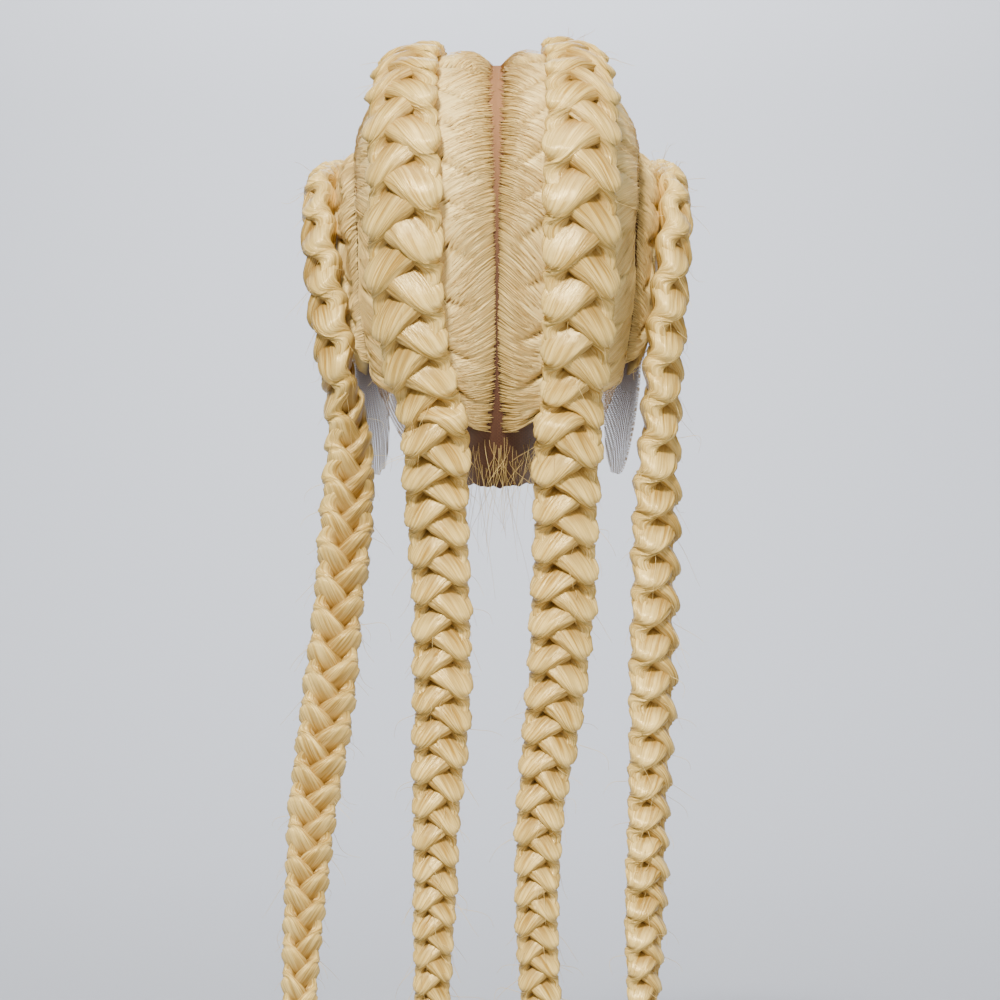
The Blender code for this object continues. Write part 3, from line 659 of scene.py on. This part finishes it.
# The bare strip's half width in metres, from the front to the nape.
CENTRE_BARE = (0.0050, 0.0056, 0.0056, 0.0048, 0.0022, 0.0016, 0.0060)
SIDE_BARE = (0.0030, 0.0045, 0.0050, 0.0050, 0.0046, 0.0040, 0.0036, 0.0030)
LINE_BARE = (0.0005, 0.0005)
# A section's hair starts at two lines. lock_edge puts a line's locks in step with the lobes on
# its side of the plait, in thirds of a pitch.
Line = namedtuple("Line", "places half_bare lock_edge")
Combing = namedtuple("Combing", "lines depth under root_gap rows")
COMBED = {
    "inner": Combing(
        (Line(CENTRE_PARTING, CENTRE_BARE, 0.25), Line(SIDE_PARTING, SIDE_BARE, 0.75)),
        HAIR_DEPTH, HAIR_UNDER_PLAIT, ROOT_GAP, 260,
    ),
    "outer": Combing(
        (Line(SIDE_PARTING, SIDE_BARE, 0.25), Line(SIDE_HAIRLINE, LINE_BARE, 0.75)),
        SIDE_HAIR_DEPTH, SIDE_UNDER_PLAIT, SIDE_ROOT_GAP, 150,
    ),
}


def combed_surface(plan, line, combing, along, across):
    """The hair between a line and its plait, at shares along the line and across to the plait.

    across is 0 at the parting and 1 under the plait's middle. A place is a direction between the
    parting's and the plait's, pushed out to the cap, read a little farther down the farther it
    is from the parting, as the hair is combed. Its height swells from the roots, and dips in a
    crease between the locks, which are in step with the plait's crossings. Also returns the
    places under the hair, the distance from the parting, the share of light that the painted
    shade keeps, darker near the parting and in the creases, and the normals.
    """
    route = plait_route(plan)
    seats = seats_of(plan)
    half_bare = through(line.half_bare, along)[..., 0]
    reading = np.clip(along + COMB_AHEAD * across**1.1 * (1 - along**6), 0, 1)
    to = unit(through(seats[:, :3], reading))
    start = unit(through(np.array(line.places) * [plan.side, 1, 1], reading))
    way = start + (to - start) * across[..., None]
    clear = combing.root_gap * np.clip(across * 4, 0.15, 1)
    ground, normals = cap_point(way, LACE_WALL + clear)
    edge = cap_point(start, LACE_WALL)[0]
    below = cap_point(to, LACE_WALL + combing.root_gap)[0]
    from_parting = np.linalg.norm(ground - edge, axis=-1)
    half_width = through(seats[:, 3:4], reading)[..., 0] * PLAIT_WIDTH / 2
    half_depth = through(seats[:, 4:5], reading)[..., 0] * PLAIT_DEPTH / 2
    aside = np.clip(np.linalg.norm(ground - below, axis=-1) / half_width, 0, 1)
    room = combing.under + half_depth * (1 - np.sqrt(1 - aside**2)) * ROOM_SHARE + INTO_PLAIT
    rows = reading * (len(seats) - 1) / (len(seats) + len(plan.hangs) - 1)
    phase = np.interp(rows, np.linspace(0, 1, len(route[0])), route[0])
    step = 3 * phase + plan.start + line.lock_edge
    lock = np.abs(2 * (step % 1) - 1)
    number = np.floor(step)
    lift = 1 + 0.14 * np.sin(number * 2.4) + 0.08 * np.sin(number * 5.1 + 1)
    grown = 1 - np.exp(-from_parting / RISE_OVER)
    gap = np.clip((across - 0.08) / 0.5, 0, 1)
    dome = 1 - gap * CREASE_DEPTH * lock**7
    tall = HAIR_AT_PARTING + (combing.depth * lift - HAIR_AT_PARTING) * grown * dome
    height = np.minimum(tall, room + combing.depth * 0.25 * (1 - lock**3) * (aside < 1))
    # painted shade: darker near the parting, as at the hair's roots, and in the creases between locks
    lit = np.clip(0.52 + from_parting / SHADE_OVER, 0, 1)
    painted_light = np.clip(1 - CREASE_SHADE * gap * lock**11, 0, 1) * lit
    nudge = unit(to - start) * (half_bare * np.exp(-from_parting / STRIP_FADES))[..., None]
    points = ground + normals * height[..., None] + nudge
    roots = ground - normals * (clear + ROOTS_IN_LACE)[..., None] + nudge
    return points, roots, from_parting, painted_light, normals


def section(name, combing, finish):
    """The hair between two lines, as one closed slab that passes under the plait between them.

    Each side is a grid, with its columns closer together towards the parting, and the two share
    one column under the plait. A strip round the rim joins the slab's upper and under sides.
    """
    plan = PLAITS[name]
    rows, columns = combing.rows, 26
    along = np.linspace(0, 1, rows)[:, None]
    share = 1 - np.cos(np.linspace(0, math.pi / 2, columns)) ** 0.9
    along, share = np.broadcast_arrays(along, share)
    sheets = [combed_surface(plan, line, combing, along, share) for line in combing.lines]
    joined = []
    for first, other in zip(*sheets):
        middle = (first[:, -1:] + other[:, -1:]) / 2
        joined.append(np.concatenate([first[:, :-1], middle, other[:, -2::-1]], axis=1))
    points, roots, from_parting, painted_light, normals = joined
    columns = points.shape[1]
    total = rows * columns
    rim = [*range(columns), *[i * columns + columns - 1 for i in range(1, rows)]]
    rim += [total - 1 - j for j in range(1, columns)] + [i * columns for i in range(rows - 2, 0, -1)]
    rim = np.array(rim)
    after = np.roll(rim, -1)
    quads = np.vstack([
        grid(rows, columns), grid(rows, columns, total)[:, ::-1],
        np.stack([rim, rim + total, after + total, after], axis=1),
    ])
    if plan.side > 0:
        quads = quads[:, ::-1]
    line_length = np.concatenate([[0], np.cumsum(np.linalg.norm(np.diff(points[:, 0], axis=0), axis=1))])
    run = np.broadcast_to(MM * line_length[:, None], from_parting.shape)
    side_of = np.broadcast_to(np.where(np.arange(columns) < columns / 2, 0, SIDES_APART), run.shape)
    fibre = np.stack([run, side_of, MM * from_parting], axis=-1)
    # the outside mark carries the painted shade, darker still on the underside
    marks = {
        "fibre": np.tile(fibre.reshape(-1, 3), (2, 1)),
        "outside": np.concatenate([painted_light.ravel(), UNDER_SHADE * painted_light.ravel()]),
    }
    v = np.concatenate([from_parting.ravel(), from_parting.ravel()])
    u = np.concatenate([run.ravel(), run.ravel()]) / MM
    map_at = np.stack([u, v], axis=-1)[quads.ravel()]
    points = np.vstack([points.reshape(-1, 3), roots.reshape(-1, 3)])
    make_piece("combed_" + name, points, quads, [], finish, marks, map_at, ["hair_" + name])


combed_tones = Tones("#F4DA98", "#F4D98E", "#CCA452", "#A07A38", "#5A3C1E")
combed = blonde_hair("combed_blonde_fibre", combed_tones, streak=1.1, roughness=0.33)
for name in PLAITS:
    section(name, COMBED[name.split("_")[0]], combed)


# The ends. A thin clear elastic is wound over each plait's end, and the hair below it is left
# loose in a short tuft of many fine locks that swells and then draws in to a ragged tip.
TIE_WIRE = 0.0019
NECK_RADIUS = 0.0046
END_GAP = 0.0003
TUFT_LENGTH = 0.042
TUFT_RADIUS = 0.0088
LOCKS_IN_TUFT = 42
LOCK_TURN = 2.39996  # the golden angle, which spreads the locks evenly, in radians
CORD_RADIUS = 0.00062
CORD_TURNS = 3.5
CORD_INSET = 0.0006  # how far inside the solid elastic's middle the cord is wound
CORD_UNEVEN = 0.0004
HAIRS_APART = 7.0  # how far apart neighbouring hairs' grain is read, in millimetres
Swell = namedtuple("Swell", "down radius")
LOCK = np.array([Swell(0, 0.0008), Swell(0.25, 0.0017), Swell(0.7, 0.0015), Swell(1, 0.0002)])


def end_of(plan):
    """The lower end of a plait: its place, and its axes as three rows, the last down along it."""
    route = plait_route(plan)
    place, tangent, normal, breadth, *_ = read_route(route, np.array([route[0][-1] - END_MARGIN]))
    return place[0], np.stack([normal[0], breadth[0], tangent[0]])


def hair_tubes(name, paths, radius, finish, sides, stands_for=()):
    """Hairs, locks or a cord as one mesh: each is a closed tube along its path.

    paths holds the points of all of them, one after another, with the same number in each.
    radius has a value for each of those points.
    """
    hairs, steps = paths.shape[:2]
    tangent = unit(np.gradient(paths, axis=1))
    aim = np.where(np.abs(tangent[..., 2:3]) > 0.9, [1.0, 0.0, 0.0], [0.0, 0.0, 1.0])
    breadth = unit(np.cross(tangent, aim))
    normal = np.cross(breadth, tangent)
    angles = np.linspace(0, 2 * math.pi, sides, endpoint=False)
    spin = breadth[:, :, None] * np.cos(angles)[:, None] + normal[:, :, None] * np.sin(angles)[:, None]
    points = paths[:, :, None] + spin * radius[:, :, None, None]
    one = grid(steps, sides, 0, True)[:, ::-1]
    each = (np.arange(hairs) * steps * sides)[:, None, None]
    quads = (one[None] + each).reshape(-1, 4)
    last = (steps - 1) * sides
    fans = []
    for start in each.ravel():
        fans.append(tuple(start + j for j in range(sides)))
        fans.append(tuple(start + last + j for j in reversed(range(sides))))
    pieces = np.linalg.norm(np.diff(paths, axis=1), axis=2)
    length = np.cumsum(np.concatenate([np.zeros((hairs, 1)), pieces], axis=1), axis=1)
    fibre = np.zeros((*points.shape[:3], 3))
    fibre[..., 0] = HAIRS_APART * np.arange(hairs)[:, None, None] + MM * radius[:, :, None] * np.cos(angles)
    fibre[..., 1] = MM * radius[:, :, None] * np.sin(angles)
    fibre[..., 2] = MM * length[:, :, None]
    j = np.arange(sides)
    u = np.stack([j, j + 1, j + 1, j], axis=-1)[:, ::-1] / sides
    u = np.broadcast_to(u, (hairs, steps - 1, sides, 4))
    v = np.stack([length[:, :-1], length[:, :-1], length[:, 1:], length[:, 1:]], axis=-1)[..., ::-1]
    v = np.broadcast_to(v[:, :, None], u.shape)
    map_at = np.vstack([np.stack([u, v], axis=-1).reshape(-1, 2), np.zeros((2 * hairs * sides, 2))])
    # outside is 1 everywhere: no painted crease shade, and the crest's painted highlight at a quarter share
    marks = {"fibre": fibre, "outside": np.ones(points.size // 3)}
    make_piece(name, points, quads, fans, finish, marks, map_at, stands_for)


def tuft(name, plan, finish):
    """Locks start inside the elastic, spread to the tuft's outline and end at uneven lengths."""
    place, axes = end_of(plan)
    neck = END_GAP * 3 + TIE_WIRE * 2
    outline = np.array([
        Swell(END_GAP, NECK_RADIUS * 0.80),
        Swell(neck, NECK_RADIUS * 0.80),
        Swell(neck + TUFT_LENGTH * 0.14, TUFT_RADIUS * 0.80),
        Swell(neck + TUFT_LENGTH * 0.36, TUFT_RADIUS * 0.88),
        Swell(neck + TUFT_LENGTH * 0.66, TUFT_RADIUS * 0.70),
        Swell(neck + TUFT_LENGTH, TUFT_RADIUS * 0.26),
    ])
    steps = 14
    at = through(outline, np.linspace(0, 1, steps))
    order = np.arange(LOCKS_IN_TUFT)
    out = np.sqrt((order + 0.5) / LOCKS_IN_TUFT)[:, None]
    turn = (order * LOCK_TURN)[:, None] + np.linspace(0, 0.5, steps)
    cut = SWAY.uniform(0.86, 1.0, (LOCKS_IN_TUFT, 1))
    down = at[:, 0] * np.where(at[:, 0] > neck, cut, 1.0)
    reach = out * at[:, 1] * (1 + SWAY.uniform(-0.10, 0.10, (LOCKS_IN_TUFT, 1)))
    local = np.stack([reach * np.cos(turn), reach * np.sin(turn), down], axis=-1)
    paths = place + local @ axes
    radius = np.interp(np.linspace(0, 1, steps), LOCK[:, 0], LOCK[:, 1])
    radii = np.broadcast_to(radius, paths.shape[:2])
    hair_tubes("loose_" + name, paths, radii, finish, sides=6, stands_for=["tuft_" + name])


def elastic_band():
    """Clear polyurethane elastic: smooth, a little yellow and shiny where it is stretched."""
    finish, tree, shader = new_finish("clear_polyurethane_elastic")
    spot = add_node(tree, "ShaderNodeTexCoord").outputs["Object"]
    haze = add_node(tree, "ShaderNodeTexNoise", {"Vector": spot, "Scale": 900.0, "Detail": 2.0})
    tones = {0: haze.outputs[0], 6: linear("#CDB277"), 7: linear("#E2CF9C")}
    tint = add_node(tree, "ShaderNodeMix", tones, data_type="RGBA")
    raise_by = {"Height": haze.outputs[0], "Strength": 0.2, "Distance": 0.0002}
    relief = add_node(tree, "ShaderNodeBump", raise_by)
    plug(tree, shader, {
        "Base Color": tint.outputs[2], "Normal": relief.outputs[0], "Roughness": 0.28, "Coat Weight": 0.4,
    })
    return finish


def tie(name, plan, finish):
    """The elastic, wound three and a half times: a thin round cord on a slightly uneven helix."""
    place, axes = end_of(plan)
    steps = 120
    t = np.linspace(0, 1, steps)
    turn = 2 * math.pi * CORD_TURNS * t
    reach = NECK_RADIUS + END_GAP + TIE_WIRE - CORD_INSET + CORD_UNEVEN * np.sin(5 * turn)
    down = END_GAP + CORD_RADIUS + t * (2 * TIE_WIRE - 2 * CORD_RADIUS)
    local = np.stack([reach * np.cos(turn), reach * np.sin(turn), down], axis=-1)
    path = (place + local @ axes)[None]
    radii = np.full((1, steps), CORD_RADIUS)
    hair_tubes("elastic_" + name, path, radii, finish, sides=8, stands_for=["tie_" + name])


elastic = elastic_band()
loose_tones = Tones("#F0D894", "#E6C67C", "#CAA152", "#AC823C", "#8A6C3C")
loose = blonde_hair("loose_blonde_fibre", loose_tones, streak=1.2, roughness=0.38)
for name, plan in PLAITS.items():
    tie(name, plan, elastic)
    tuft(name, plan, loose)


# Stray hairs. Short new hairs stand over the partings' bare strips and along the hairline, and
# a few long ones have worked out of the plaits. They are single fibres, drawn two to four times
# as thick as the real tenth of a millimetre so that they show.
HAIR_RADIUS = 0.00016
STRAYS_ON_PLAIT = 150
NAPE_HAIRS = 80
# The hairs along each of a section's two lines, and their reach as a share of the way across.
Growth = namedtuple("Growth", "reach count")
GROWTHS = {
    "inner": (Growth(0.62, 1100), Growth(0.6, 600)),
    "outer": (Growth(0.6, 500), Growth(0.5, 160)),
}


def parting_hairs(plan, line, combing, growth):
    """Hairs that start in a parting's bare strip and lie along the combed hair beside it.

    A hair follows the combed surface with a low arch and a drift to one side, and starts back in
    the strip. Returns the paths and the radius at each of their points.
    """
    steps, count = 9, growth.count
    along = np.repeat(SWAY.uniform(0.0, 1.0, (count, 1)), steps, axis=1)
    share = np.linspace(0.0, 1.0, steps)[None] * SWAY.uniform(0.4, 1.0, (count, 1)) * growth.reach
    half_bare = through(line.half_bare, along)[..., 0]
    points, *_, normals = combed_surface(plan, line, combing._replace(under=0.0), along, share)
    inward = unit(points[:, -1:] - points[:, :1])
    back = half_bare * SWAY.uniform(0.0, 0.85, (count, 1)) * np.linspace(1, 0, steps) ** 2
    rise = SWAY.uniform(0.0002, 0.0011, (count, 1)) * np.sin(np.linspace(0.1, 3.0, steps))
    drift = SWAY.uniform(-0.0015, 0.0015, (count, 1)) * np.linspace(0, 1, steps) ** 2
    paths = points - inward * back[..., None] + normals * (rise + 0.0001)[..., None]
    paths[..., 2] += drift
    radius = 1.3 * HAIR_RADIUS * np.interp(np.linspace(0, 1, steps), [0, 0.2, 1], [0.8, 1.0, 0.4])
    return paths, np.broadcast_to(radius, paths.shape[:2])


for name, plan in PLAITS.items():
    kind = name.split("_")[0]
    combing, grown = COMBED[kind], GROWTHS[kind]
    hairs = [parting_hairs(plan, line, combing, growth) for line, growth in zip(combing.lines, grown)]
    paths, radii = (np.concatenate(both) for both in zip(*hairs))
    hair_tubes("parting_hairs_" + name, paths, radii, loose, sides=3)


def strays(name, roots, ways, lengths, finish, curl, droop):
    """Loose single hairs: each leaves its root on its way, wanders to and fro and droops."""
    steps, count = 14, len(roots)
    s = np.linspace(0, 1, steps)[None, :, None]
    side = unit(np.cross(ways, SWAY.normal(size=(count, 3))))[:, None]
    turns = SWAY.uniform(0.6, 1.6, (count, 1, 1)) * math.pi
    bend = curl * SWAY.uniform(0.2, 1.0, (count, 1, 1))
    paths = ways[:, None] * s + side * bend * (1 - np.cos(turns * s)) + np.array([0, 0, -droop]) * s**2
    paths = roots[:, None] + paths * np.reshape(lengths, (-1, 1, 1))
    radius = HAIR_RADIUS * np.interp(s[0, :, 0], [0, 0.2, 1], [0.6, 0.8, 0.3])
    hair_tubes(name, paths, np.broadcast_to(radius, paths.shape[:2]), finish, sides=3)


def plait_strays(name, plan, finish):
    """Strays all over a plait's outside, each rooted a little inside it. Every twelfth is longer."""
    route, count = plait_route(plan), STRAYS_ON_PLAIT
    phases = SWAY.uniform(0.4, route[0][-1] - 0.3, count)
    place, tangent, normal, breadth, half_width, half_depth = read_route(route, phases)
    spin = SWAY.uniform(-0.6, math.pi + 0.6, count)[:, None]
    out = breadth * np.cos(spin) + normal * np.sin(spin)
    sideways = breadth * np.cos(spin) * 0.8 * half_width[:, None]
    roots = place + sideways + normal * np.sin(spin) * 0.8 * half_depth[:, None]
    ways = unit(out * SWAY.uniform(0.3, 1.0, (count, 1)) + tangent * SWAY.uniform(0.3, 1.2, (count, 1)))
    reach = SWAY.uniform(0.007, 0.020, count) * np.where(np.arange(count) % 12, 1.0, 1.3)
    strays("plait_strays_" + name, roots, ways, reach, finish, curl=0.35, droop=0.15)


def nape_hairs(finish):
    """Fine baby hairs that hang from the nape, below the combed hair's edge."""
    count = NAPE_HAIRS
    turns = np.radians(SWAY.uniform(-24, 28, count))
    down = -SWAY.uniform(0.66, 0.86, count)
    roots = cap_point(np.stack([0.8 * np.sin(turns), -0.8 * np.cos(turns), down], axis=1), LACE_WALL)[0]
    hang = np.stack([0.25 * np.sin(turns), np.full(count, 0.15), np.full(count, -1.0)], axis=1)
    ways = unit(hang + SWAY.normal(size=(count, 3)) * 0.05)
    lengths = SWAY.uniform(0.012, 0.07, count) * SWAY.uniform(0.4, 1.0, count)
    strays("nape_hairs", roots, ways, lengths, finish, curl=0.30, droop=0.3)


for name, plan in PLAITS.items():
    plait_strays(name, plan, loose)
nape_hairs(loose)


# The setting: a pale seamless sweep, a camera level with the ear tabs and soft studio lights.
FLOOR = -0.62
VIEW_DISTANCE = 1.6
FRAME_WIDTH = 0.53  # metres across the picture at the wig's middle
SENSOR_MM = 36
CAMERA_AT = (0.0016, -VIEW_DISTANCE, -0.227)


def sweep():
    """The backdrop's line runs back along the floor and turns up through a quarter circle."""
    front, back, radius, height, half = -3.0, 1.3, 0.9, 2.6, 4.0
    line = [(front, FLOOR)]
    for turn in np.linspace(0, math.pi / 2, 24):
        line.append((back + radius * math.sin(turn), FLOOR + radius * (1 - math.cos(turn))))
    line.append((back + radius, FLOOR + height))
    points = [(x, y, z) for y, z in line for x in (-half, half)]
    mesh = bpy.data.meshes.new("sweep")
    mesh.from_pydata(points, [], grid(len(line), 2)[:, ::-1].tolist())
    mesh.shade_smooth()
    finish, tree, shader = new_finish("pale_paper")
    plug(tree, shader, {"Base Color": linear("#AAADB4"), "Roughness": 0.9})
    mesh.materials.append(finish)
    made = bpy.data.objects.new("sweep", mesh)
    bpy.context.scene.collection.objects.link(made)


def soft_light(name, place, aim, size, power, colour):
    """A square studio light that points at aim."""
    data = bpy.data.lights.new(name, "AREA")
    data.size = size
    data.energy = power
    data.color = linear(colour)[:3]
    made = bpy.data.objects.new(name, data)
    made.location = place
    made.rotation_euler = (Vector(aim) - Vector(place)).to_track_quat("-Z", "Y").to_euler()
    bpy.context.scene.collection.objects.link(made)


sweep()
soft_light("key", (-0.5, -2.0, 1.9), (0, 0, -0.2), 0.5, 205, "#FFFDF8")
soft_light("fill", (1.5, -2.1, 0.1), (0, 0, -0.25), 0.8, 26, "#FBFCFF")
soft_light("top", (0.1, -0.3, 1.6), (0, 0, 0), 0.8, 18, "#FFFFFF")
soft_light("back_wall", (0, 1.3, 1.3), (0, 2.2, 0.75), 1.0, 70, "#FBFCFF")
world = bpy.data.worlds.new("studio")
world.use_nodes = True
plug(world.node_tree, world.node_tree.nodes["Background"], {"Color": linear("#E4E6EC"), "Strength": 0.26})
bpy.context.scene.world = world
lens = bpy.data.cameras.new("camera")
lens.sensor_width = SENSOR_MM
lens.lens = SENSOR_MM * VIEW_DISTANCE / FRAME_WIDTH
camera = bpy.data.objects.new("camera", lens)
camera.location = CAMERA_AT
camera.rotation_euler = (math.pi / 2, 0, 0)
bpy.context.scene.collection.objects.link(camera)
bpy.context.scene.camera = camera
